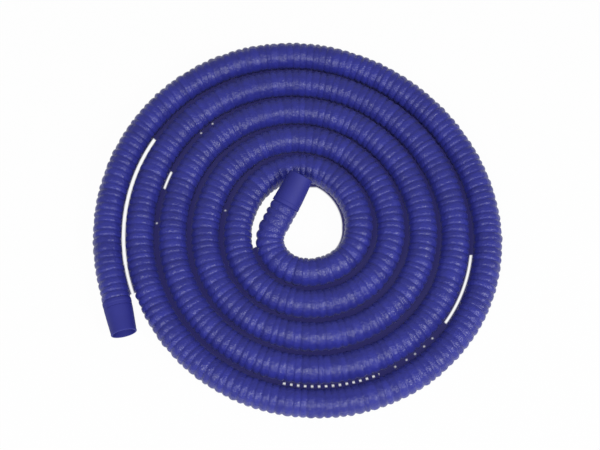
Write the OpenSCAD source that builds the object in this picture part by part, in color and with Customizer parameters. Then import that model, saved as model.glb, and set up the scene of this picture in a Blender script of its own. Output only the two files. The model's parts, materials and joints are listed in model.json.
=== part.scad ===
// Pool vacuum hose put away as one flat coil: a ribbed hose wound outwards in a single layer,
// a fixed cuff bonded on its inner end and a swivel cuff on its outer end.
// Millimetres, +Z up. The hose rests on z = 0, with the origin under the middle of the coil.

/* [Hose] */
// Inside diameter of the hose
bore_d = 31.8; // [28:0.1:33]
// Wall between the bore and the grooves between the ribs
wall = 1.1; // [0.8:0.1:1.5]
// Height of the ribs above the grooves
rib_depth = 3; // [2:0.1:3.6]
// Ribs modelled along the hose, one for every three of the real thing
ribs = 180; // [60:1:185]
// Ribs on the free stretch that rises at the inner end
inner_ribs = 4; // [4:1:6]
// Ribs on the free stretch at the outer end
outer_ribs = 3; // [2:1:4]
// Share of the hose's diameter that is pressed flat where it lies on the ground
flat_share = 0.1; // [0.06:0.01:0.12]

/* [Coil] */
// Radius of the coil's middle line at the start of its first full turn
core_r = 75.3; // [72:0.1:84]
// Clear space between neighbouring turns
turn_gap = 5.2; // [4.2:0.1:8]
// Angle at which the winding begins, before the first full turn
wind_from = -142; // [-150:1:-136]
// Angle at which the winding ends
wind_to = 1636; // [1500:1:1700]
// How far each turn is out of round, wider along Y
oval = 2.3; // [0:0.1:3]
// Bulge that each further turn adds towards its lower right and upper left
lean = 1.5; // [0:0.1:1.8]
// Three-cornered unevenness of the turns
lobe = 1.5; // [0:0.1:2]
// Direction of one of the three corners
lobe_turn = -17; // [-30:1:30]
// Sideways creep of each further turn, along X
creep_x = -0.5; // [-1.5:0.1:0]
// Sideways creep of each further turn, along Y
creep_y = -0.1; // [-1:0.1:0.5]

/* [Inner end] */
// Radius of the hook that leads the inner end back to the first turn
hook_r = 39; // [36:0.5:44]
// Angle through which the hook turns
hook_turn = 55; // [52:0.5:58]
// Length of the straight stretch from the hook to the inner end
inner_straight = 44; // [42:1:46]
// Upward slope of the inner end, whose cuff leans on the first turn
tip_rise = 15; // [14:0.5:17]
// Length over which the hose climbs to that slope
tip_ramp = 75; // [70:1:100]

/* [Outer end] */
// Length over which the hose climbs to the height of the swivel cuff
outer_ramp = 120; // [80:5:200]

/* [Cuffs] */
// Length of a cuff from the last rib to its mouth
cuff_len = 47; // [42:0.5:60]
// Inside diameter of a cuff's mouth
mouth_d = 31; // [28:0.1:31.6]
// Wall at the lip of the mouth
lip_wall = 2; // [1.4:0.1:2.2]
// Depth of the straight bore behind the mouth
mouth_depth = 24; // [18:0.5:24]
// Wall of a cuff round the end of the hose
back_wall = 2.2; // [1.6:0.1:2.2]
// Wall where the shoulder meets the long taper
waist_wall = 3.5; // [2.2:0.1:3.8]
// Height of the raised rim at the back of a cuff or collar
rim_h = 0.4; // [0.2:0.1:0.5]
// Length of the raised rim
rim_len = 5; // [4:0.5:6]
// Length of the straight part at the back, before the shoulder slopes in
back_len = 12; // [12:0.5:14]
// Length from the back to the foot of the sloping shoulder
waist_at = 22; // [20:0.5:22]
// Depth to which the hose is bonded into the fixed cuff
fixed_socket = 12; // [9:0.5:12]
// Depth to which the hose is bonded into the swivel collar
swivel_socket = 9; // [7:0.5:9]
// Bond line between the hose and its socket
bond_gap = 0.3; // [0.2:0.05:0.4]
// Broken edge at backs and lips
edge = 0.5; // [0.3:0.1:0.6]

/* [Swivel] */
// Thickness of the collar's face, in front of the end of the hose
face_t = 1; // [0.8:0.1:1.2]
// Axial play between the collar's face and the swivel cuff
face_gap = 0.3; // [0.2:0.05:0.4]
// Length of the collar's neck that carries the cuff
neck_len = 7; // [6.5:0.1:7.5]
// Wall of the neck
neck_wall = 1; // [0.8:0.05:1.1]
// Radial running clearance of the cuff on the neck
running_gap = 0.05; // [0.02:0.01:0.1]
// Height of the bead that holds the cuff on the neck
bead_h = 0.6; // [0.4:0.05:0.6]
// Width of the bead
bead_w = 1.4; // [1:0.1:1.6]
// Distance from the collar's face to the bead
bead_at = 2.4; // [2:0.1:2.6]
// Clearance all round the bead in the cuff's groove
groove_gap = 0.2; // [0.15:0.05:0.3]

/* [Hidden] */
$fn = 96;
hose_blue = [0.20, 0.22, 0.52];
cuff_blue = [0.18, 0.20, 0.50];

bore_r = bore_d / 2;
root_r = bore_r + wall;
rib_r = root_r + rib_depth;
hose_d = 2 * rib_r;
bed_z = rib_r - flat_share * hose_d;
turn_pitch = hose_d + turn_gap;

// ---- route of the hose's middle line, seen from above ----
outer_straight = hose_d;
hook_len = hook_r * hook_turn * PI / 180;
wind_step = 2;
wind_steps = floor((wind_to - wind_from) / wind_step);
direction_step = 0.05;

function unit(v) = v / norm(v);
function left_of(v) = [-v[1], v[0]];
function right_of(v) = [v[1], -v[0]];
function turned(v, a) = [v[0] * cos(a) - v[1] * sin(a), v[0] * sin(a) + v[1] * cos(a)];

// Radius of the winding at angle a, in degrees counted on through every turn
function wind_r(a) =
    let (turn = a / 360)
    core_r + turn * (turn_pitch + creep_x * cos(a) + creep_y * sin(a))
    - oval * cos(2 * a) - lean * turn * sin(2 * a) + lobe * cos(3 * (a - lobe_turn));
function wind_point(a) = wind_r(a) * [cos(a), sin(a)];
function wind_dir(a) = unit(wind_point(a + direction_step) - wind_point(a - direction_step));

// Length wound up to each step of the winding
wound = [for (i = 0, sum = 0; i <= wind_steps;
    sum = sum + norm(wind_point(wind_from + (i + 1) * wind_step)
        - wind_point(wind_from + i * wind_step)), i = i + 1)
    [sum, wind_from + i * wind_step]];
wound_len = wound[wind_steps][0];
last_angle = wound[wind_steps][1];

// The hook bends right off the start of the winding, then the inner end runs straight
join = wind_point(wind_from);
join_dir = -wind_dir(wind_from);
hook_mid = join + hook_r * right_of(join_dir);
inner_dir = turned(join_dir, -hook_turn);
inner_bend = hook_mid + hook_r * left_of(inner_dir);
outer_bend = wind_point(last_angle);
outer_dir = wind_dir(last_angle);

// Route stations, counted from the inner end face of the hose to the outer one
s_hook = inner_straight;
s_wind = s_hook + hook_len;
s_outer = s_wind + wound_len;
hose_len = s_outer + outer_straight;

function plan(s) =
    s < s_hook ? inner_bend + (s_hook - s) * inner_dir
    : s < s_wind ? hook_mid + hook_r * left_of(turned(join_dir, -hook_turn * (s_wind - s) / hook_len))
    : s < s_outer ? wind_point(lookup(s - s_wind, wound))
    : outer_bend + (s - s_outer) * outer_dir;

// Height of the middle line: level in the coil, climbing at both ends
climb = tan(tip_rise);
function smooth(x) = let (t = max(0, min(1, x))) t * t * (3 - 2 * t);
function height(s) =
    s < s_hook ? bed_z + climb * (tip_ramp / 2 + s_hook - s)
    : s < s_hook + tip_ramp ? bed_z + climb * pow(s_hook + tip_ramp - s, 2) / (2 * tip_ramp)
    : bed_z + (rib_r - bed_z) * smooth((s - s_outer + outer_ramp) / outer_ramp);
function route(s) = let (p = plan(s)) [p[0], p[1], height(s)];
function route_dir(s) =
    let (a = max(0, s - direction_step), b = min(hose_len, s + direction_step))
    unit(route(b) - route(a));

// ---- skin of the hose: rings of eight points with the side on the ground cut flat ----
sides = 8;
narrow_foot = 20;
function foot_angle(z, r) = max(narrow_foot, z < r ? acos(z / r) : 0);
function ring(s, r) =
    let (
        c = route(s),
        along = route_dir(s),
        side = unit([-along[1], along[0], 0]),
        up = cross(along, side),
        foot = foot_angle(c[2], r),
        step = (360 - 2 * foot) / (sides - 1)
    )
    [for (k = [0:sides - 1]) let (a = foot + k * step) c + r * (sin(a) * side - cos(a) * up)];

// The socket's depth is measured along the sloping end, and the route's length from above
plain_end = fixed_socket * cos(tip_rise);
rib_pitch = (hose_len - plain_end - swivel_socket) / ribs;
function groove(k) = plain_end + k * rib_pitch;

// Rings of the stretch between two grooves, with the plain end where the hose ends there
function skin_rings(from, to) = concat(
    from == 0 ? [ring(0, root_r)] : [],
    [for (k = [2 * from:2 * to]) ring(groove(k / 2), k % 2 == 0 ? root_r : rib_r)],
    to == ribs ? [ring(hose_len, root_r)] : []);
function bore_rings(from, to) = concat(
    from == 0 ? [ring(0, bore_r)] : [],
    [for (k = [from:to]) ring(groove(k), bore_r)],
    to == ribs ? [ring(hose_len, bore_r)] : []);

// Two triangles between each pair of neighbouring points of two rings
function band(first, last) = [for (i = [first:last - 1], k = [0:sides - 1])
    let (n = (k + 1) % sides, a = i * sides, b = a + sides)
    each [[a + k, b + k, b + n], [a + k, b + n, a + n]]];
function cap(outer, inner) = [for (k = [0:sides - 1])
    let (n = (k + 1) % sides, a = outer * sides, b = inner * sides)
    each [[a + k, a + n, b + n], [a + k, b + n, b + k]]];
function flipped(faces) = [for (f = faces) [f[2], f[1], f[0]]];

// One stretch of the ribbed tube: its skin, its bore and a ring of wall at each end
module stretch(from, to) {
    skin = skin_rings(from, to);
    bore = bore_rings(from, to);
    skin_end = len(skin) - 1;
    bore_from = len(skin);
    bore_end = bore_from + len(bore) - 1;
    translate(place)
        polyhedron(
            points = [for (r = concat(skin, bore)) each r],
            faces = concat(
                band(0, skin_end),
                flipped(band(bore_from, bore_end)),
                cap(0, bore_from),
                flipped(cap(skin_end, bore_end))),
            convexity = 12);
}

// ---- where the coil stands: the middle of its box lies over the origin ----
whole_skin = skin_rings(0, ribs);
function span(k) = [for (r = whole_skin) each [for (p = r) p[k]]];
function middle(k) = let (v = span(k)) (min(v) + max(v)) / 2;
place = [-middle(0), -middle(1), 0];

// ---- cuffs, drawn along +Z from the face behind the last rib ----
socket_r = root_r + bond_gap;
back_r = socket_r + back_wall;
rim_r = back_r + rim_h;
mouth_r = mouth_d / 2;
lip_r = mouth_r + lip_wall;
waist_r = mouth_r + waist_wall;
mouth_from = cuff_len - mouth_depth;
collar_len = swivel_socket + face_t;
neck_r = bore_r + neck_wall;
neck_end = collar_len + neck_len;
bead_from = collar_len + bead_at;
swivel_from = collar_len + face_gap;
swivel_bore_r = neck_r + running_gap;
groove_r = neck_r + bead_h + groove_gap;

inner_seat = route(plain_end);
outer_seat = route(hose_len - swivel_socket);
inner_turn = atan2(inner_dir[1], inner_dir[0]);
outer_turn = atan2(outer_dir[1], outer_dir[0]);

module at_inner_end() {
    translate(place + inner_seat)
        rotate([0, 90 - tip_rise, inner_turn])
            children();
}

module at_outer_end() {
    translate(place + outer_seat)
        rotate([0, 90, outer_turn])
            children();
}

// Raised rim at the back of a cuff or collar
rim_outside = [
    [rim_r - edge, 0],
    [rim_r, edge],
    [rim_r, rim_len],
    [back_r, rim_len + rim_h]];
// Outside of a cuff in front: straight, sloping shoulder, long taper, lip
front_outside = [
    [back_r, back_len],
    [waist_r, waist_at],
    [lip_r, cuff_len - edge],
    [lip_r - edge, cuff_len]];
// Mouth of a cuff, from its lip inwards
mouth_inside = [
    [mouth_r + edge, cuff_len],
    [mouth_r, cuff_len - edge],
    [mouth_r, mouth_from],
    [bore_r, mouth_from]];

module hose_inner_end() {
    color(hose_blue)
        stretch(0, inner_ribs);
}

module hose_coil() {
    color(hose_blue)
        stretch(inner_ribs, ribs - outer_ribs);
}

module hose_outer_end() {
    color(hose_blue)
        stretch(ribs - outer_ribs, ribs);
}

module fixed_cuff() {
    color(cuff_blue)
        at_inner_end()
            rotate_extrude()
                polygon(concat(rim_outside, front_outside, mouth_inside, [
                    [bore_r, fixed_socket],
                    [socket_r, fixed_socket],
                    [socket_r, 0]]));
}

module swivel_collar() {
    color(cuff_blue)
        at_outer_end()
            rotate_extrude()
                polygon(concat([[socket_r, 0]], rim_outside, [
                    [back_r, collar_len],
                    [neck_r, collar_len],
                    [neck_r, bead_from],
                    [neck_r + bead_h, bead_from],
                    [neck_r + bead_h, bead_from + bead_w / 2],
                    [neck_r, bead_from + bead_w],
                    [neck_r, neck_end],
                    [bore_r, neck_end],
                    [bore_r, swivel_socket],
                    [socket_r, swivel_socket]]));
}

module swivel_cuff() {
    color(cuff_blue)
        at_outer_end()
            rotate_extrude()
                polygon(concat([
                    [back_r - edge, swivel_from],
                    [back_r, swivel_from + edge]], front_outside, mouth_inside, [
                    [bore_r, neck_end + face_gap],
                    [swivel_bore_r, neck_end + face_gap],
                    [swivel_bore_r, bead_from + bead_w + groove_gap],
                    [groove_r, bead_from + bead_w / 2 + groove_gap],
                    [groove_r, bead_from - groove_gap],
                    [swivel_bore_r, bead_from - groove_gap],
                    [swivel_bore_r, swivel_from]]));
}

// ---- least gap of the hose to itself, measured on points of its middle line ----
gap_step = 4;
function gap_between(p, q) = norm(p - q) - hose_d;
turn_gaps = [for (a = [wind_from:gap_step:last_angle - 360], d = [-8:1:8])
    gap_between(wind_point(a), wind_point(min(last_angle, a + 360 + d)))];
first_turn = [for (a = [0:gap_step:360]) let (p = wind_point(a)) [p[0], p[1], bed_z]];
hook_gaps = [for (s = [0:gap_step:s_wind], p = first_turn) gap_between(route(s), p)];
echo(least_gap_to_itself = min(min(turn_gaps), min(hook_gaps)));
echo(hose_length = hose_len, length_with_cuffs = hose_len + 2 * cuff_len - plain_end - swivel_socket);
echo(outer_seat = place + outer_seat, outer_turn = outer_turn);
echo(inner_seat = place + inner_seat, inner_turn = inner_turn);

hose_inner_end();
hose_coil();
hose_outer_end();
fixed_cuff();
swivel_collar();
swivel_cuff();
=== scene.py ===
"""Pool vacuum hose put away as one flat coil: the ribbed hose, its bonded cuff, and the collar
and cuff of its swivel end, with a plain studio round them."""

import json
import math

import bpy
import numpy as np
from bpy.props import FloatProperty, FloatVectorProperty, IntProperty, PointerProperty
from mathutils import Matrix, Vector

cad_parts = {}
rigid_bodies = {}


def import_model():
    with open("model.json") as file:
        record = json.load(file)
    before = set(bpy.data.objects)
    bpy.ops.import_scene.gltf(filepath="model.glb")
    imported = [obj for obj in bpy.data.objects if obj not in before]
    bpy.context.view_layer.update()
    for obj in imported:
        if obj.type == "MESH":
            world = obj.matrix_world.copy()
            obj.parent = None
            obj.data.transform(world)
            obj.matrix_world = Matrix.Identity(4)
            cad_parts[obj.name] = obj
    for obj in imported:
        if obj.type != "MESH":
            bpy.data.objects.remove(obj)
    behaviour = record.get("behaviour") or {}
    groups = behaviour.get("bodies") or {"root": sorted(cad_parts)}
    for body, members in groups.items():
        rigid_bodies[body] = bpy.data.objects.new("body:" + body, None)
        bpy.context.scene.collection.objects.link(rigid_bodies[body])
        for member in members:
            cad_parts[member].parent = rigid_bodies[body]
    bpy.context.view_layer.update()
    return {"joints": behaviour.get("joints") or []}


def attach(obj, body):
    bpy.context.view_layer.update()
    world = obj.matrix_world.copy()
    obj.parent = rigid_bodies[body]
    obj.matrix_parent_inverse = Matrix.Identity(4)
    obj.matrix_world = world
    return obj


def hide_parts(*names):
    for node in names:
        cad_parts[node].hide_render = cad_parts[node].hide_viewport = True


bl_info = {
    "name": "Pool vacuum hose",
    "version": (1, 0, 0),
    "blender": (4, 5, 0),
    "location": "3D View > Sidebar > Pool hose",
    "description": "Models a coiled ribbed hose with its cuffs and lights it",
    "category": "Object",
}

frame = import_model()
SWIVEL = frame["joints"][0]


# ---------------------------------------------------------------- colours

def colour(code):
    """An sRGB hex colour as linear red, green and blue."""
    parts = [int(code[i : i + 2], 16) / 255 for i in (1, 3, 5)]
    return tuple(c / 12.92 if c <= 0.04045 else ((c + 0.055) / 1.055) ** 2.4 for c in parts)


# ---------------------------------------------------------------- sizes

class HoseSizes(bpy.types.PropertyGroup):
    """Sizes of the hose and of the coil that it is wound into"""
    bore: FloatProperty(name="Bore", description="Inside diameter of the hose",
        default=0.0318, unit="LENGTH")
    wall: FloatProperty(name="Wall", description="Wall between the bore and the grooves",
        default=0.0011, unit="LENGTH")
    rib_depth: FloatProperty(name="Rib depth", description="Height of the ribs above the grooves",
        default=0.003, unit="LENGTH")
    ribs: IntProperty(name="Ribs", description="Ribs along the whole hose", default=530)
    sides: IntProperty(name="Sides", description="Points round each ring of the skin", default=26)
    core: FloatProperty(name="Core radius", description="Radius where the first full turn starts",
        default=0.0753, unit="LENGTH")
    gap: FloatProperty(name="Turn gap", description="Clear space between neighbouring turns",
        default=0.0052, unit="LENGTH")
    wind_from: FloatProperty(name="Winding from", description="Angle at which the winding begins",
        default=math.radians(-142), subtype="ANGLE")
    wind_to: FloatProperty(name="Winding to", description="Angle at which the winding ends",
        default=math.radians(1636), subtype="ANGLE")
    oval: FloatProperty(name="Oval", description="How far each turn is out of round",
        default=0.0023, unit="LENGTH")
    lean: FloatProperty(name="Lean", description="Bulge that each turn adds on a diagonal",
        default=0.0015, unit="LENGTH")
    lobe: FloatProperty(name="Lobe", description="Three-cornered unevenness of the turns",
        default=0.0015, unit="LENGTH")
    lobe_turn: FloatProperty(name="Lobe direction", description="Direction of one of the corners",
        default=math.radians(-17), subtype="ANGLE")
    creep_x: FloatProperty(name="Creep X", description="Sideways creep of each further turn",
        default=-0.0005, unit="LENGTH")
    creep_y: FloatProperty(name="Creep Y", description="Creep of each further turn along Y",
        default=-0.0001, unit="LENGTH")
    hook: FloatProperty(name="Hook radius", description="Radius of the hook at the inner end",
        default=0.039, unit="LENGTH")
    hook_turn: FloatProperty(name="Hook angle", description="Angle through which the hook turns",
        default=math.radians(55), subtype="ANGLE")
    inner_straight: FloatProperty(name="Inner straight", description="From hook to inner end",
        default=0.044, unit="LENGTH")
    tip_rise: FloatProperty(name="Tip slope", description="Upward slope of the inner end",
        default=math.radians(15), subtype="ANGLE")
    tip_ramp: FloatProperty(name="Tip ramp", description="Length over which the slope sets in",
        default=0.0451, unit="LENGTH")


class CuffSizes(bpy.types.PropertyGroup):
    """Sizes of both cuffs and of the collar"""
    length: FloatProperty(name="Length", description="From the last rib to the mouth",
        default=0.047, unit="LENGTH")
    mouth: FloatProperty(name="Mouth", description="Inside diameter of the mouth",
        default=0.031, unit="LENGTH")
    lip: FloatProperty(name="Lip", description="Wall at the lip of the mouth",
        default=0.002, unit="LENGTH")
    mouth_depth: FloatProperty(name="Mouth depth", description="Depth of the straight bore",
        default=0.024, unit="LENGTH")
    back_wall: FloatProperty(name="Back wall", description="Wall round the end of the hose",
        default=0.0022, unit="LENGTH")
    waist_wall: FloatProperty(name="Waist wall", description="Wall at the foot of the shoulder",
        default=0.0035, unit="LENGTH")
    rim: FloatProperty(name="Rim", description="Height of the raised rim at the back",
        default=0.0004, unit="LENGTH")
    rim_length: FloatProperty(name="Rim length", description="Length of the raised rim",
        default=0.005, unit="LENGTH")
    back: FloatProperty(name="Back length", description="Length before the shoulder slopes in",
        default=0.012, unit="LENGTH")
    waist: FloatProperty(name="Waist", description="Length to the foot of the shoulder",
        default=0.022, unit="LENGTH")
    fixed_socket: FloatProperty(name="Fixed socket", description="Depth of the cuff's socket",
        default=0.012, unit="LENGTH")
    swivel_socket: FloatProperty(name="Swivel socket", description="Depth of the collar's socket",
        default=0.009, unit="LENGTH")
    bond: FloatProperty(name="Bond", description="Bond line between a hose end and its socket",
        default=0.0003, unit="LENGTH")
    face: FloatProperty(name="Face", description="Thickness of the collar's face",
        default=0.001, unit="LENGTH")
    play: FloatProperty(name="Play", description="Axial play between the collar and the cuff",
        default=0.0003, unit="LENGTH")
    neck: FloatProperty(name="Neck", description="Length of the collar's neck",
        default=0.007, unit="LENGTH")
    neck_wall: FloatProperty(name="Neck wall", description="Wall of the neck",
        default=0.001, unit="LENGTH")
    running: FloatProperty(name="Running gap", description="Radial clearance on the neck",
        default=0.00005, unit="LENGTH")
    bead_at: FloatProperty(name="Bead place", description="From the collar's face to the bead",
        default=0.0024, unit="LENGTH")
    bead: FloatProperty(name="Bead", description="Height of the bead that keeps the cuff on",
        default=0.0006, unit="LENGTH")
    bead_width: FloatProperty(name="Bead width", description="Width of the bead",
        default=0.0014, unit="LENGTH")
    groove: FloatProperty(name="Groove gap", description="Clearance round the bead in its groove",
        default=0.0002, unit="LENGTH")


class Finishes(bpy.types.PropertyGroup):
    """Colours of the hose, its cuffs and the floor"""
    hose: FloatVectorProperty(name="Hose", description="Colour of the hose's blend",
        default=colour("#2E3296"), subtype="COLOR")
    hose_shade: FloatVectorProperty(name="Hose shade", description="Darker tone of thick spots",
        default=colour("#272A85"), subtype="COLOR")
    cuff: FloatVectorProperty(name="Cuffs", description="Colour of the moulded cuffs",
        default=colour("#292C90"), subtype="COLOR")
    cuff_shade: FloatVectorProperty(name="Cuff shade", description="Darker tone of flow marks",
        default=colour("#232683"), subtype="COLOR")
    floor: FloatVectorProperty(name="Floor", description="Colour of the studio floor",
        default=colour("#E4E4E8"), subtype="COLOR")
    # Painted shade: a dark bluish floor colour in the narrow gaps, in place of their deep shadow
    # and bounce light
    painted_gap_shade: FloatVectorProperty(name="Floor in gaps",
        description="Colour that the floor takes from the turns in a narrow gap",
        default=colour("#2A285E"), subtype="COLOR")


class StudioSizes(bpy.types.PropertyGroup):
    """Place and lens of the camera"""
    distance: FloatProperty(name="Distance", description="From the camera to the hose",
        default=1.512, unit="LENGTH")
    elevation: FloatProperty(name="Elevation", description="Angle of the camera above the ground",
        default=math.radians(70), subtype="ANGLE")
    lens: FloatProperty(name="Lens", description="Focal length in millimetres", default=65.0)
    shift_x: FloatProperty(name="Shift X", description="Sideways shift of the picture",
        default=0.0035)
    shift_y: FloatProperty(name="Shift Y", description="Upward shift of the picture",
        default=0.0112)
    aim_x: FloatProperty(name="Aim X", description="From the winding's centre to the aim",
        default=-0.01146, unit="LENGTH")
    aim_y: FloatProperty(name="Aim Y", description="From the winding's centre to the aim along Y",
        default=-0.0055, unit="LENGTH")
    aim_z: FloatProperty(name="Aim height", description="Height of the aim, amid the turns",
        default=0.020, unit="LENGTH")


# ---------------------------------------------------------------- route of the hose

class Route:
    """The hose's middle line, in metres, from its inner end face to its outer one."""

    def __init__(self, sizes, cuffs):
        self.sizes = sizes
        self.root = sizes.bore / 2 + sizes.wall
        self.crest = self.root + sizes.rib_depth
        self.pitch = 2 * self.crest + sizes.gap
        self.outer_straight = 2 * self.crest
        step = math.radians(2)
        self.angles = np.arange(sizes.wind_from, sizes.wind_to + step / 2, step)
        points = np.array([self.wound_point(a) for a in self.angles])
        legs = np.linalg.norm(np.diff(points, axis=0), axis=1)
        self.wound = np.concatenate([[0], np.cumsum(legs)])
        self.start = -self.wound_dir(self.angles[0])
        self.hook_mid = points[0] + sizes.hook * self.right(self.start)
        self.inner_dir = self.turned(self.start, -sizes.hook_turn)
        self.inner_bend = self.hook_mid - sizes.hook * self.right(self.inner_dir)
        self.outer_bend = points[-1]
        self.outer_dir = self.wound_dir(self.angles[-1])
        self.to_hook = sizes.inner_straight
        self.to_wind = self.to_hook + sizes.hook * sizes.hook_turn
        self.to_outer = self.to_wind + self.wound[-1]
        self.length = self.to_outer + self.outer_straight
        # The inner end slopes, and its length is counted as it is seen from above
        self.plain_end = cuffs.fixed_socket * math.cos(sizes.tip_rise)
        self.last_rib = self.length - cuffs.swivel_socket
        # The swivel's pivot lies on the face of the last rib, which places the whole route
        pivot = Vector(SWIVEL["pos_m"])
        seat = self.plan(self.last_rib)
        self.place = np.array([pivot.x - seat[0], pivot.y - seat[1]])

    @staticmethod
    def right(v):
        return np.array([v[1], -v[0]])

    @staticmethod
    def turned(v, angle):
        c, s = math.cos(angle), math.sin(angle)
        return np.array([v[0] * c - v[1] * s, v[0] * s + v[1] * c])

    def wound_point(self, a):
        """The winding at angle a: a spiral, uneven as a hand-wound coil is."""
        k, turn = self.sizes, a / math.tau
        step = self.pitch + k.creep_x * np.cos(a) + k.creep_y * np.sin(a)
        radius = k.core + turn * step - k.oval * np.cos(2 * a)
        radius += k.lobe * np.cos(3 * (a - k.lobe_turn)) - k.lean * turn * np.sin(2 * a)
        return radius * np.array([np.cos(a), np.sin(a)])

    def wound_dir(self, a, reach=0.001):
        v = self.wound_point(a + reach) - self.wound_point(a - reach)
        return v / np.linalg.norm(v)

    def plan(self, s):
        """A point of the middle line as seen from above, before the route is put in place."""
        if s < self.to_hook:
            return self.inner_bend + (self.to_hook - s) * self.inner_dir
        if s < self.to_wind:
            angle = -(self.to_wind - s) / self.sizes.hook
            return self.hook_mid - self.sizes.hook * self.right(self.turned(self.start, angle))
        if s < self.to_outer:
            return self.wound_point(np.interp(s - self.to_wind, self.wound, self.angles))
        return self.outer_bend + (s - self.to_outer) * self.outer_dir

    def point(self, s):
        """A point of the middle line. The inner end climbs onto the first turn."""
        x, y = self.plan(s) + self.place
        climb, ramp = math.tan(self.sizes.tip_rise), self.sizes.tip_ramp
        past = self.to_hook + ramp - s
        z = self.crest
        if past > ramp:
            z += climb * (past - ramp / 2)
        elif past > 0:
            z += climb * past * past / (2 * ramp)
        return np.array([x, y, z])

    def heading(self, s, reach=0.00005):
        low, high = max(0.0, s - reach), min(self.length, s + reach)
        v = self.point(high) - self.point(low)
        return v / np.linalg.norm(v)

    def ring(self, s, radius, around, lean=(0, 0)):
        """Points round the middle line at s, at angles from its left side over its top. A ring
        that leans slips forwards on one side and back on the other."""
        cosine, sine = np.cos(around), np.sin(around)
        along = self.heading(s)
        side = np.array([-along[1], along[0], 0])
        side /= np.linalg.norm(side)
        up = np.cross(along, side)
        out = np.outer(cosine, side) + np.outer(sine, up)
        slip = radius * (lean[0] * cosine + lean[1] * sine)
        return self.point(s) + np.reshape(radius, (-1, 1)) * out + np.outer(slip, along)

    def seat(self, s, outwards):
        """The matrix that puts a cuff drawn along +Z on the hose at s."""
        axis = Vector(self.heading(s)) * outwards
        turn = Vector((0, 0, 1)).rotation_difference(axis)
        return Matrix.Translation(Vector(self.point(s))) @ turn.to_matrix().to_4x4()


# ---------------------------------------------------------------- floor between the turns

# Stretches of the winding where floor shows through the gap inside it: from and to which angle of
# its outer turn, in degrees, how wide, and whether the ribs part it into beads
OPEN_STRETCHES = (
    (1236, 1243.5, 0.0028, False),
    (1404, 1430, 0.0032, False),
    (1588, 1632, 0.0046, False),
    (1632, 1645, 0.0038, False),
    (1342, 1375, 0.0025, True),
)
# Angles of the outer turn, in degrees, at which a single speck of floor shows in the gap
SPECKS = (527, 1210, 1216, 1258, 1381, 1385.5, 1389, 1393, 1397)
# How far a beaded stretch and a speck open, from one bead to the next, the width over which an
# edge of the painted shade fades, and how many such widths a speck reaches from its middle
BEAD_OPENING, SPECK_OPENING = 0.75, 0.6
BEAD_PITCH = 0.0102
FADE = 0.0012
SPECK_REACH = 1.5
# The painted shade in the hole: the angle at which it sets in on the right side, in degrees, its
# full width, and how far behind the winding's centre the hole ends
HOLE_SHADE_FROM, HOLE_SHADE, HOLE_END = -35, 0.0037, 0.0615
# Where the floor beside the hook is fully painted with shade, as the gap closes: radii, middle
# angle and reach to both sides of it
HOOK_GAP_RADII = (0.06, 0.1)
HOOK_GAP_ANGLE, HOOK_GAP_REACH = -2.58, 0.18


def faded(depth):
    """From 0 to 1 across an edge, for depths in metres on its shaded side."""
    return np.clip(depth / FADE + 0.5, 0, 1)


def hole_shade(route, at, radius, angle, first):
    """How much painted shade the floor gets inside the first turn, whose middle line has the
    radius `first`: shade is painted where that turn shades the right side and the far end of the
    hole, and where it closes the gap beside the hook."""
    past = np.degrees(angle) - HOLE_SHADE_FROM
    wide = HOLE_SHADE * np.clip(past / -HOLE_SHADE_FROM, 0, 1)
    # Elsewhere no shade is painted as far as the turn's middle line, which hides the floor
    wide = np.where((past > 0) & (at[:, 0] > 0), wide, -route.crest)
    depth = np.maximum(at[:, 1] - HOLE_END, radius - (first - route.crest - wide))
    painted_shade = np.where(radius < first, faded(depth), 0)
    low, high = HOOK_GAP_RADII
    closed = np.abs(angle - HOOK_GAP_ANGLE) < HOOK_GAP_REACH
    painted_shade[(radius > low) & (radius < high) & closed] = 1
    return painted_shade


def gap_shade(route, floor, eye):
    """For floor points as the eye sees them through the coil's middle height: how much painted
    shade they get where the turns close the gap over them, whether the gap is parted into beads,
    and their place along it in beads."""
    at = floor + (eye[:2] - floor) * (route.crest / eye[2]) - route.place
    radius, angle = np.hypot(*at.T), np.arctan2(at[:, 1], at[:, 0])
    # The straight outer end leaves the winding so gently that the winding stands for it here
    angles = np.append(route.angles, route.angles[-1] + np.radians([3, 6]))
    middles = np.hypot(*route.wound_point(angles))
    painted_shade = hole_shade(route, at, radius, angle, np.interp(angle, angles, middles))
    beads, place = np.zeros(len(at)), np.zeros(len(at))
    for turn in range(1, 2 + int(angles[-1] / math.tau)):
        outer = angle + turn * math.tau
        low = np.interp(outer - math.tau, angles, middles, left=np.inf)
        high = np.interp(outer, angles, middles, right=0)
        gap = (radius > low) & (radius < high)
        away, degrees = np.abs(radius - (low + high) / 2), np.degrees(outer)
        here = np.ones(len(at))
        for start, end, width, beaded in OPEN_STRETCHES:
            inside = gap & (degrees > start) & (degrees < end)
            here -= inside * faded(width / 2 - away) * (BEAD_OPENING if beaded else 1)
            beads[inside] = beaded
        along = np.interp(outer, route.angles, route.wound)
        for speck in SPECKS:
            off = along - np.interp(math.radians(speck), route.angles, route.wound)
            near = np.clip(SPECK_REACH - np.hypot(off, away) / FADE, 0, 1)
            here -= SPECK_OPENING * near
        painted_shade[gap] = np.clip(here, 0, 1)[gap]
        place[gap] = (along / BEAD_PITCH)[gap]
    return np.stack([painted_shade, beads, place], axis=1)


# ---------------------------------------------------------------- materials

def add_node(tree, kind, values=(), links=()):
    """Adds a node, sets its properties and inputs, and links outputs into its inputs."""
    new = tree.nodes.new(kind)
    for key, value in dict(values).items():
        if isinstance(key, str) and hasattr(new, key):
            setattr(new, key, value)
        else:
            new.inputs[key].default_value = value
    for key, output in dict(links).items():
        tree.links.new(output, new.inputs[key])
    return new


def new_material(name, values):
    """A material of that name, with its node tree and its Principled shader, whose inputs get
    their values."""
    made = bpy.data.materials.new(name)
    made.use_nodes = True
    shader = made.node_tree.nodes["Principled BSDF"]
    for key, value in values.items():
        shader.inputs[key].default_value = value
    return made, made.node_tree, shader


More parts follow.
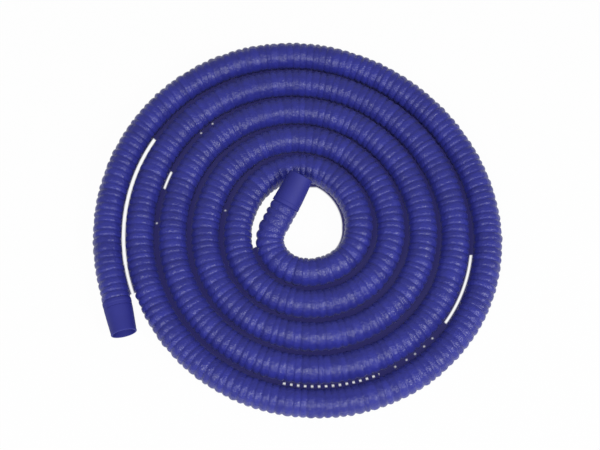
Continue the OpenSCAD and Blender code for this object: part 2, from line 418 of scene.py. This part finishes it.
def cover(tree, shader, paint, gloss, relief):
    """Links a material's colour, roughness and relief into its shader."""
    tree.links.new(paint.outputs[2], shader.inputs["Base Color"])
    tree.links.new(gloss.outputs[0], shader.inputs["Roughness"])
    tree.links.new(relief.outputs[0], shader.inputs["Normal"])


def blown_blend(finish):
    """Semi-gloss polyethylene and EVA blend, blow-moulded: it is smooth enough to glint on every
    rib, and the parison's uneven cooling leaves it crinkled and a little patchy."""
    # The sheen is the dusty film of use
    made, tree, shader = new_material("Blow-moulded polyethylene blend",
        {"IOR": 1.51, "Sheen Weight": 0.07, "Sheen Roughness": 0.5})
    place = add_node(tree, "ShaderNodeTexCoord")
    rib = add_node(tree, "ShaderNodeAttribute", {"attribute_name": "rib_tone"})
    # Patches of slower cooling, about 12 mm across
    patches = add_node(tree, "ShaderNodeTexNoise", {"Scale": 80.0, "Detail": 3.0},
        {"Vector": place.outputs["Object"]})
    # Dents about 5 mm across, and crinkles about 2 mm across on them
    dents = add_node(tree, "ShaderNodeTexNoise", {"Scale": 190.0, "Detail": 1.0},
        {"Vector": place.outputs["Object"]})
    crinkle = add_node(tree, "ShaderNodeTexNoise", {"Scale": 480.0, "Detail": 2.0},
        {"Vector": place.outputs["Object"]})
    tone = add_node(tree, "ShaderNodeMath", {"operation": "MULTIPLY_ADD", 1: 0.5},
        {0: rib.outputs["Fac"], 2: patches.outputs["Fac"]})
    share = add_node(tree, "ShaderNodeMapRange", {"From Min": 0.45, "From Max": 1.05},
        {"Value": tone.outputs[0]})
    # Inputs 6 and 7 are the two colours
    paint = add_node(tree, "ShaderNodeMix",
        {"data_type": "RGBA", 6: (*finish.hose_shade, 1), 7: (*finish.hose, 1)},
        {0: share.outputs[0]})
    gloss = add_node(tree, "ShaderNodeMapRange",
        {"From Min": 0.35, "From Max": 0.65, "To Min": 0.32, "To Max": 0.46},
        {"Value": crinkle.outputs["Fac"]})
    dented = add_node(tree, "ShaderNodeBump", {"Strength": 0.55, "Distance": 0.0016},
        {"Height": dents.outputs["Fac"]})
    relief = add_node(tree, "ShaderNodeBump", {"Strength": 0.85, "Distance": 0.0006},
        {"Height": crinkle.outputs["Fac"], "Normal": dented.outputs[0]})
    cover(tree, shader, paint, gloss, relief)
    return made


def moulded_cuff(finish):
    """Soft polyethylene, injection-moulded in a fine-grained tool: an even satin with broad, weak
    highlights and faint flow marks. The cuffs and the collar share it."""
    name = "Injection-moulded polyethylene"
    if name in bpy.data.materials:
        return bpy.data.materials[name]
    made, tree, shader = new_material(name, {"IOR": 1.51})
    place = add_node(tree, "ShaderNodeTexCoord")
    # Flow marks about 17 mm across
    flow = add_node(tree, "ShaderNodeTexNoise", {"Scale": 60.0, "Detail": 3.0, "Distortion": 0.6},
        {"Vector": place.outputs["Object"]})
    # The tool's grain, drawn at 0.8 mm, coarser than the real 0.1 mm so that it shows
    grain = add_node(tree, "ShaderNodeTexNoise", {"Scale": 1250.0, "Detail": 1.0},
        {"Vector": place.outputs["Object"]})
    paint = add_node(tree, "ShaderNodeMix",
        {"data_type": "RGBA", 6: (*finish.cuff_shade, 1), 7: (*finish.cuff, 1)},
        {0: flow.outputs["Fac"]})
    gloss = add_node(tree, "ShaderNodeMapRange", {"To Min": 0.60, "To Max": 0.72},
        {"Value": flow.outputs["Fac"]})
    relief = add_node(tree, "ShaderNodeBump", {"Strength": 0.25, "Distance": 0.0001},
        {"Height": grain.outputs["Fac"]})
    cover(tree, shader, paint, gloss, relief)
    return made


def floor_paint(finish):
    """Matt white studio floor: it shows white wherever it lies open to the light, keeps a faint
    shadow, and is painted with shade as dark as the hose in the narrow gaps between the turns."""
    made, tree, shader = new_material("Matt studio floor",
        {"Base Color": (*finish.floor, 1), "Roughness": 0.9})
    ray = add_node(tree, "ShaderNodeLightPath")
    seen = add_node(tree, "ShaderNodeMath", {"operation": "MAXIMUM"},
        {0: ray.outputs["Is Camera Ray"], 1: ray.outputs["Is Glossy Ray"]})
    seen = add_node(tree, "ShaderNodeMath", {"operation": "MAXIMUM"},
        {0: seen.outputs[0], 1: ray.outputs["Is Transmission Ray"]})
    # The gap's three values: how much painted shade it gets, whether it is beaded, and the place
    # along it
    gap = add_node(tree, "ShaderNodeAttribute", {"attribute_name": "gap"})
    parts = add_node(tree, "ShaderNodeSeparateXYZ", {}, {0: gap.outputs["Vector"]})
    # A bead lies in the middle third of each pitch
    part = add_node(tree, "ShaderNodeMath", {"operation": "FRACT"}, {0: parts.outputs["Z"]})
    bead = add_node(tree, "ShaderNodeMath", {"operation": "COMPARE", 1: 0.5, 2: 0.18},
        {0: part.outputs[0]})
    between = add_node(tree, "ShaderNodeMath", {"operation": "SUBTRACT", "use_clamp": True},
        {0: parts.outputs["Y"], 1: bead.outputs[0]})
    painted_shade = add_node(tree, "ShaderNodeMath", {"operation": "MAXIMUM"},
        {0: parts.outputs["X"], 1: between.outputs[0]})
    # Painted shade: white where the floor lies open, the dark gap colour where the gap is shut
    paint = add_node(tree, "ShaderNodeMix",
        {"data_type": "RGBA", 6: (1, 1, 1, 1), 7: (*finish.painted_gap_shade, 1)},
        {0: painted_shade.outputs[0]})
    # The small share of lit floor that is left keeps the shadow
    share = add_node(tree, "ShaderNodeMath", {"operation": "MULTIPLY", 1: 0.97},
        {0: seen.outputs[0]})
    white = add_node(tree, "ShaderNodeEmission", {"Strength": 1.0}, {"Color": paint.outputs[2]})
    mixed = add_node(tree, "ShaderNodeMixShader", {},
        {0: share.outputs[0], 1: shader.outputs[0], 2: white.outputs[0]})
    tree.links.new(mixed.outputs[0], tree.nodes["Material Output"].inputs["Surface"])
    return made


# ---------------------------------------------------------------- making

# Turned pieces: sides, the distance at which doubled points merge, the width of a softened edge,
# and the least angles at which an edge is softened and stays crisp
TURNED_SIDES = 72
MERGED_WITHIN = 0.000002
EDGE_WIDTH = 0.00035
SOFTENED_FROM, CRISP_FROM = math.radians(24), math.radians(38)


def settings(context):
    return context.scene.pool_hose


def deselect():
    for thing in bpy.context.selected_objects:
        thing.select_set(False)


def turned_piece(name, stations, matrix, material):
    """A ring is added at the first station, extruded and resized through the others back to
    itself, its edges are bevelled, and the piece is put in place."""
    deselect()
    radius, height = stations[0]
    bpy.ops.mesh.primitive_circle_add(vertices=TURNED_SIDES, radius=radius,
        location=(0, 0, height), enter_editmode=True)
    for next_radius, next_height in stations[1:] + stations[:1]:
        bpy.ops.mesh.extrude_region_move(
            TRANSFORM_OT_translate={"value": (0, 0, next_height - height)})
        grow = next_radius / radius
        bpy.ops.transform.resize(value=(grow, grow, 1), center_override=(0, 0, next_height))
        radius, height = next_radius, next_height
    bpy.ops.mesh.select_all(action="SELECT")
    bpy.ops.mesh.remove_doubles(threshold=MERGED_WITHIN)
    bpy.ops.mesh.normals_make_consistent(inside=False)
    bpy.ops.object.mode_set(mode="OBJECT")
    piece = bpy.context.object
    piece.name = piece.data.name = name
    bpy.ops.object.transform_apply(location=True, rotation=True, scale=True)
    soften = piece.modifiers.new("Soft edges", "BEVEL")
    soften.width, soften.segments = EDGE_WIDTH, 3
    soften.limit_method, soften.angle_limit = "ANGLE", SOFTENED_FROM
    bpy.ops.object.modifier_apply(modifier=soften.name)
    bpy.ops.object.shade_smooth_by_angle(angle=CRISP_FROM)
    piece.matrix_world = matrix
    bpy.ops.object.transform_apply(location=True, rotation=True, scale=True)
    piece.data.materials.append(material)
    return piece


def finish_piece(piece, body, slot, *nodes):
    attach(piece, body)
    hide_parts(*nodes)


# ---------------------------------------------------------------- skin of the hose

# Rings of one rib, from its groove on: their places as shares of the pitch, and their heights as
# shares of the ribs' depth on the top and the inner side of the coil
RIB_STEPS = (0.0, 0.15, 0.33, 0.5, 0.67, 0.85)
RIB_HEIGHTS = (0.5, 0.82, 1.0, 0.95, 1.0, 0.82)
# The same heights on the coil's outer side, where the bend stretches the hose and opens the
# grooves
STRETCHED_HEIGHTS = (0.24, 0.64, 0.95, 1.0, 0.95, 0.64)
# What blow-moulding leaves uneven: a groove's place as a share of the pitch, the lowest crest as
# a share of the highest, the lean of a groove as a slope, and the usual depth of the crumple
GROOVE_DRIFT, LOWEST_CREST, GROOVE_LEAN, CRUMPLE = 0.14, 0.88, 0.025, 0.0003
# Tone of what isn't a rib: the ends and the bore
PLAIN_TONE = 0.5
# Length at the inner end in which the hose bends so tightly that its bore needs every ring
TIGHT_LENGTH = 0.16


def ribbed_skin(route, around):
    """The skin's rings with every rib, the tone of each ring, and where the grooves stand."""
    count, depth = route.sizes.ribs, route.sizes.rib_depth
    chance = np.random.RandomState(7)
    pitch = (route.last_rib - route.plain_end) / count
    drift = chance.uniform(-GROOVE_DRIFT, GROOVE_DRIFT, count + 1) * pitch
    drift[0] = drift[-1] = 0
    grooves = route.plain_end + np.arange(count + 1) * pitch + drift
    crest_size = chance.uniform(LOWEST_CREST, 1.0, count)
    tilt = chance.uniform(-GROOVE_LEAN, GROOVE_LEAN, (count + 1, 2))
    tilt[0] = tilt[-1] = 0
    tones = chance.uniform(0, 1, count)
    crumple = chance.normal(0, CRUMPLE, (count, len(around)))
    # The coil winds to the left, so its outer side is the right one
    stretched = np.clip(-np.cos(around), 0, 1)

    skin, tone = [route.ring(0, route.root, around)], [PLAIN_TONE]
    for i in range(count):
        for part, least, most in zip(RIB_STEPS, RIB_HEIGHTS, STRETCHED_HEIGHTS):
            height = least + stretched * (most - least)
            s = grooves[i] + part * (grooves[i + 1] - grooves[i])
            lean = tilt[i] + part * (tilt[i + 1] - tilt[i])
            radius = route.root + depth * height * crest_size[i]
            radius = radius + height * crumple[i]
            skin.append(route.ring(s, radius, around, lean))
            tone.append(tones[i])
    for s in (route.last_rib, route.length):
        skin.append(route.ring(s, route.root, around))
        tone.append(PLAIN_TONE)
    return skin, tone, grooves


def bore_rings(route, around, grooves):
    """Rings of the bore, at every groove of the tight bends and every other one after them."""
    tight = int(TIGHT_LENGTH * route.sizes.ribs / (route.last_rib - route.plain_end))
    at = [g for i, g in enumerate(grooves) if i < tight or i % 2 == 0]
    return [route.ring(s, route.sizes.bore / 2, around) for s in [0.0] + at + [route.length]]


def tube_faces(start, rings, sides):
    """Faces between neighbouring rings, from ring number start on, that look outwards."""
    low = (start + np.arange(rings - 1))[:, None] * sides + np.arange(sides)
    nxt = (start + np.arange(rings - 1))[:, None] * sides + (np.arange(sides) + 1) % sides
    return np.stack([low, nxt, nxt + sides, low + sides], axis=-1).reshape(-1, 4)


def end_faces(outer, inner, sides):
    """Faces of the wall between an outer and an inner ring, that look back along the hose."""
    near, far = np.arange(sides), (np.arange(sides) + 1) % sides
    outer, inner = outer * sides, inner * sides
    return np.stack([outer + near, inner + near, inner + far, outer + far], axis=-1)


# ---------------------------------------------------------------- outlines of the cuffs

# How far before and behind the end of the rim its edge slopes down
RIM_SLOPE = (0.0002, 0.0006)
# The rounded shoulder, as shares of its drop and its run
SHOULDER = ((0.28, 0.32), (0.72, 0.64))
# The rolled lip: past the lip's radius, and back from the mouth
ROLLED_LIP = ((0, 0.0026), (0.0002, 0.0014), (0, 0.0003), (-0.0006, 0))
# The mouth's inner edge: past the mouth's radius, and back from the mouth
MOUTH_EDGE = (0.0003, 0.0005)


def radii(route, c):
    """Radii of the hose's bore, of a socket on its end and of the back of a cuff."""
    socket = route.root + c.bond
    return route.sizes.bore / 2, socket, socket + c.back_wall


def rim_outside(route, c):
    """Stations of the raised rim at the back of a cuff or collar."""
    _, _, back = radii(route, c)
    before, behind = RIM_SLOPE
    return [(back + c.rim, 0), (back + c.rim, c.rim_length - before),
        (back, c.rim_length + behind)]


def front_outside(route, c):
    """Stations of a cuff's outside in front: the straight part, the rounded shoulder, the long
    taper and the rolled lip."""
    _, _, back = radii(route, c)
    waist, lip = c.mouth / 2 + c.waist_wall, c.mouth / 2 + c.lip
    drop, run = back - waist, c.waist - c.back
    return [
        (back, c.back),
        *((back - fall * drop, c.back + part * run) for fall, part in SHOULDER),
        (waist, c.waist),
        *((lip + past, c.length - behind) for past, behind in ROLLED_LIP),
    ]


def cuff_inside(route, c):
    """Stations of a cuff's bore from the mouth inwards."""
    bore, _, _ = radii(route, c)
    mouth, foot = c.mouth / 2, c.length - c.mouth_depth
    past, behind = MOUTH_EDGE
    return [(mouth + past, c.length), (mouth, c.length - behind), (mouth, foot), (bore, foot)]


# ---------------------------------------------------------------- operators

# The floor's two squares: cells along a side, side and height. The finer one, under the coil,
# carries the painted shade of the gaps between the turns
FLOORS = (
    ("Studio_floor", 2, 12, -0.0006),
    ("Studio_floor_middle", 480, 0.6, -0.0002),
)
# The lamps, which look at the origin: place, side of the square and power in watts
LAMPS = (
    ("Right_softbox", (1.75, -1.4, 2.1), 0.84, 43.0),
    ("Left_softbox", (-0.63, -1.4, 1.96), 0.7, 22.0),
)
# Strength of the light that the air gives, where the camera itself sees plain white
AIR_LIGHT = 0.34


class PoolHoseSettings(bpy.types.PropertyGroup):
    """All that a user can change"""
    sizes: PointerProperty(type=HoseSizes)
    cuffs: PointerProperty(type=CuffSizes)
    finishes: PointerProperty(type=Finishes)
    studio: PointerProperty(type=StudioSizes)


class POOLHOSE_OT_studio(bpy.types.Operator):
    """Add the floor, the lamps, the world's light and the camera"""
    bl_idname = "poolhose.studio"
    bl_label = "Studio"

    def execute(self, context):
        own = settings(context)
        route, studio = Route(own.sizes, own.cuffs), own.studio
        scene = context.scene
        scene.view_settings.view_transform = "Standard"

        aim = Vector((route.place[0] + studio.aim_x, route.place[1] + studio.aim_y, studio.aim_z))
        back = Vector((0, -math.cos(studio.elevation), math.sin(studio.elevation)))
        lens = bpy.data.cameras.new("Camera")
        lens.lens, lens.sensor_width = studio.lens, 36
        lens.shift_x, lens.shift_y = studio.shift_x, studio.shift_y
        lens.clip_start, lens.clip_end = 0.01, 20
        camera = bpy.data.objects.new("Camera", lens)
        camera.location = aim + back * studio.distance
        camera.rotation_euler = (-back).to_track_quat("-Z", "Y").to_euler()
        scene.collection.objects.link(camera)
        scene.camera = camera

        deselect()
        paint = floor_paint(own.finishes)
        for name, cells, size, height in FLOORS:
            bpy.ops.mesh.primitive_grid_add(x_subdivisions=cells, y_subdivisions=cells, size=size,
                location=(0, 0, height))
            floor = context.object
            floor.name = name
            bpy.ops.object.transform_apply(location=True)
            floor.data.materials.append(paint)
        # The painted shade of the gaps, for every point of the finer square
        at = np.empty(len(floor.data.vertices) * 3)
        floor.data.vertices.foreach_get("co", at)
        shades = gap_shade(route, at.reshape(-1, 3)[:, :2], np.array(camera.location))
        floor.data.attributes.new("gap", "FLOAT_VECTOR", "POINT").data.foreach_set("vector",
            shades.ravel())

        for name, place, size, watts in LAMPS:
            lamp = bpy.data.lights.new(name, "AREA")
            lamp.shape, lamp.size, lamp.energy = "SQUARE", size, watts
            holder = bpy.data.objects.new(name, lamp)
            holder.location = place
            holder.rotation_euler = (-Vector(place)).to_track_quat("-Z", "Y").to_euler()
            scene.collection.objects.link(holder)

        world = bpy.data.worlds.new("Studio_air")
        world.use_nodes = True
        tree = world.node_tree
        sky = tree.nodes["Background"]
        sky.inputs["Color"].default_value = (1, 1, 1, 1)
        sky.inputs["Strength"].default_value = AIR_LIGHT
        ray = add_node(tree, "ShaderNodeLightPath")
        white = add_node(tree, "ShaderNodeBackground", {"Color": (1, 1, 1, 1), "Strength": 1.0})
        mixed = add_node(tree, "ShaderNodeMixShader", {},
            {0: ray.outputs["Is Camera Ray"], 1: sky.outputs[0], 2: white.outputs[0]})
        tree.links.new(mixed.outputs[0], tree.nodes["World Output"].inputs["Surface"])
        scene.world = world
        return {"FINISHED"}


class POOLHOSE_OT_hose(bpy.types.Operator):
    """Sweep the ribbed hose along its coil, with every rib, its bore and its ends"""
    bl_idname = "poolhose.hose"
    bl_label = "Ribbed hose"

    def execute(self, context):
        own = settings(context)
        route, sides = Route(own.sizes, own.cuffs), own.sizes.sides
        around = np.arange(sides) * math.tau / sides
        skin, tone, grooves = ribbed_skin(route, around)
        bore = bore_rings(route, around, grooves)
        inner, last = len(skin), len(skin) + len(bore) - 1
        faces = np.concatenate([
            tube_faces(0, len(skin), sides),
            tube_faces(inner, len(bore), sides)[:, ::-1],
            end_faces(0, inner, sides),
            end_faces(inner - 1, last, sides)[:, ::-1],
        ])
        mesh = bpy.data.meshes.new("Ribbed_hose")
        mesh.from_pydata(np.concatenate(skin + bore).tolist(), [], faces.tolist())
        mesh.polygons.foreach_set("use_smooth", np.ones(len(faces), bool))
        tones = np.repeat(np.array(tone + [PLAIN_TONE] * len(bore)), sides)
        mesh.attributes.new("rib_tone", "FLOAT", "POINT").data.foreach_set("value", tones)
        mesh.update()
        mesh.validate()
        mesh.materials.append(blown_blend(own.finishes))
        hose = bpy.data.objects.new("Ribbed_hose", mesh)
        context.scene.collection.objects.link(hose)
        finish_piece(hose, "hose", "hose", "hose_inner_end", "hose_coil", "hose_outer_end")
        return {"FINISHED"}


class POOLHOSE_OT_fixed_cuff(bpy.types.Operator):
    """Turn the cuff that is bonded on the hose's inner end"""
    bl_idname = "poolhose.fixed_cuff"
    bl_label = "Fixed cuff"

    def execute(self, context):
        own = settings(context)
        route, c = Route(own.sizes, own.cuffs), own.cuffs
        bore, socket, _ = radii(route, c)
        stations = rim_outside(route, c) + front_outside(route, c) + cuff_inside(route, c) + [
            (bore, c.fixed_socket), (socket, c.fixed_socket), (socket, 0)]
        cuff = turned_piece("Fixed_cuff", stations, route.seat(route.plain_end, -1),
            moulded_cuff(own.finishes))
        finish_piece(cuff, "hose", "cuff", "fixed_cuff")
        return {"FINISHED"}


class POOLHOSE_OT_collar(bpy.types.Operator):
    """Turn the collar that is bonded on the hose's outer end and carries the swivel cuff"""
    bl_idname = "poolhose.collar"
    bl_label = "Swivel collar"

    def execute(self, context):
        own = settings(context)
        route, c = Route(own.sizes, own.cuffs), own.cuffs
        bore, socket, hub = radii(route, c)
        neck, front = bore + c.neck_wall, c.swivel_socket + c.face
        bead = front + c.bead_at
        stations = rim_outside(route, c) + [
            (hub, front), (neck, front), (neck, bead), (neck + c.bead, bead),
            (neck + c.bead, bead + c.bead_width / 2), (neck, bead + c.bead_width),
            (neck, front + c.neck), (bore, front + c.neck),
            (bore, c.swivel_socket), (socket, c.swivel_socket), (socket, 0)]
        collar = turned_piece("Swivel_collar", stations, route.seat(route.last_rib, 1),
            moulded_cuff(own.finishes))
        finish_piece(collar, "hose", "cuff", "swivel_collar")
        return {"FINISHED"}


class POOLHOSE_OT_swivel_cuff(bpy.types.Operator):
    """Turn the cuff that runs on the collar's neck at the hose's outer end"""
    bl_idname = "poolhose.swivel_cuff"
    bl_label = "Swivel cuff"

    def execute(self, context):
        own = settings(context)
        route, c = Route(own.sizes, own.cuffs), own.cuffs
        bore, _, back = radii(route, c)
        front = c.swivel_socket + c.face
        start, neck_end = front + c.play, front + c.neck + c.play
        running = bore + c.neck_wall + c.running
        groove = bore + c.neck_wall + c.bead + c.groove
        bead = front + c.bead_at
        stations = [(back, start)] + front_outside(route, c) + cuff_inside(route, c) + [
            (bore, neck_end), (running, neck_end), (running, bead + c.bead_width + c.groove),
            (groove, bead + c.bead_width / 2 + c.groove), (groove, bead - c.groove),
            (running, bead - c.groove), (running, start)]
        cuff = turned_piece("Swivel_cuff", stations, route.seat(route.last_rib, 1),
            moulded_cuff(own.finishes))
        finish_piece(cuff, "swivel", "cuff", "swivel_cuff")
        return {"FINISHED"}


def declare_hose(own):
    """Works out points of the hose's middle line along its whole length, and uses none of them.
    """
    route, things = Route(own.sizes, own.cuffs), bpy.data.objects
    path = [route.point(s) for s in np.linspace(0, route.length, own.sizes.ribs + 1)]
    route.point(route.plain_end)


# ---------------------------------------------------------------- panel

OPERATORS = (
    POOLHOSE_OT_studio,
    POOLHOSE_OT_hose,
    POOLHOSE_OT_fixed_cuff,
    POOLHOSE_OT_collar,
    POOLHOSE_OT_swivel_cuff,
)


class POOLHOSE_PT_panel(bpy.types.Panel):
    """Sizes, finishes and pieces of the pool hose"""
    bl_idname = "POOLHOSE_PT_panel"
    bl_label = "Pool hose"
    bl_space_type = "VIEW_3D"
    bl_region_type = "UI"
    bl_category = "Pool hose"

    def draw(self, context):
        own = settings(context)
        for group in (own.sizes, own.cuffs, own.finishes, own.studio):
            box = self.layout.box()
            for name in type(group).__annotations__:
                box.prop(group, name)
        for operator in OPERATORS:
            self.layout.operator(operator.bl_idname)


CLASSES = (HoseSizes, CuffSizes, Finishes, StudioSizes, PoolHoseSettings, *OPERATORS,
    POOLHOSE_PT_panel)


def register():
    for made in CLASSES:
        bpy.utils.register_class(made)
    bpy.types.Scene.pool_hose = PointerProperty(type=PoolHoseSettings)


def unregister():
    del bpy.types.Scene.pool_hose
    for made in reversed(CLASSES):
        bpy.utils.unregister_class(made)


def main():
    register()
    bpy.ops.poolhose.studio()
    bpy.ops.poolhose.hose()
    bpy.ops.poolhose.fixed_cuff()
    bpy.ops.poolhose.collar()
    bpy.ops.poolhose.swivel_cuff()
    declare_hose(bpy.context.scene.pool_hose)


if __name__ == "__main__":
    main()
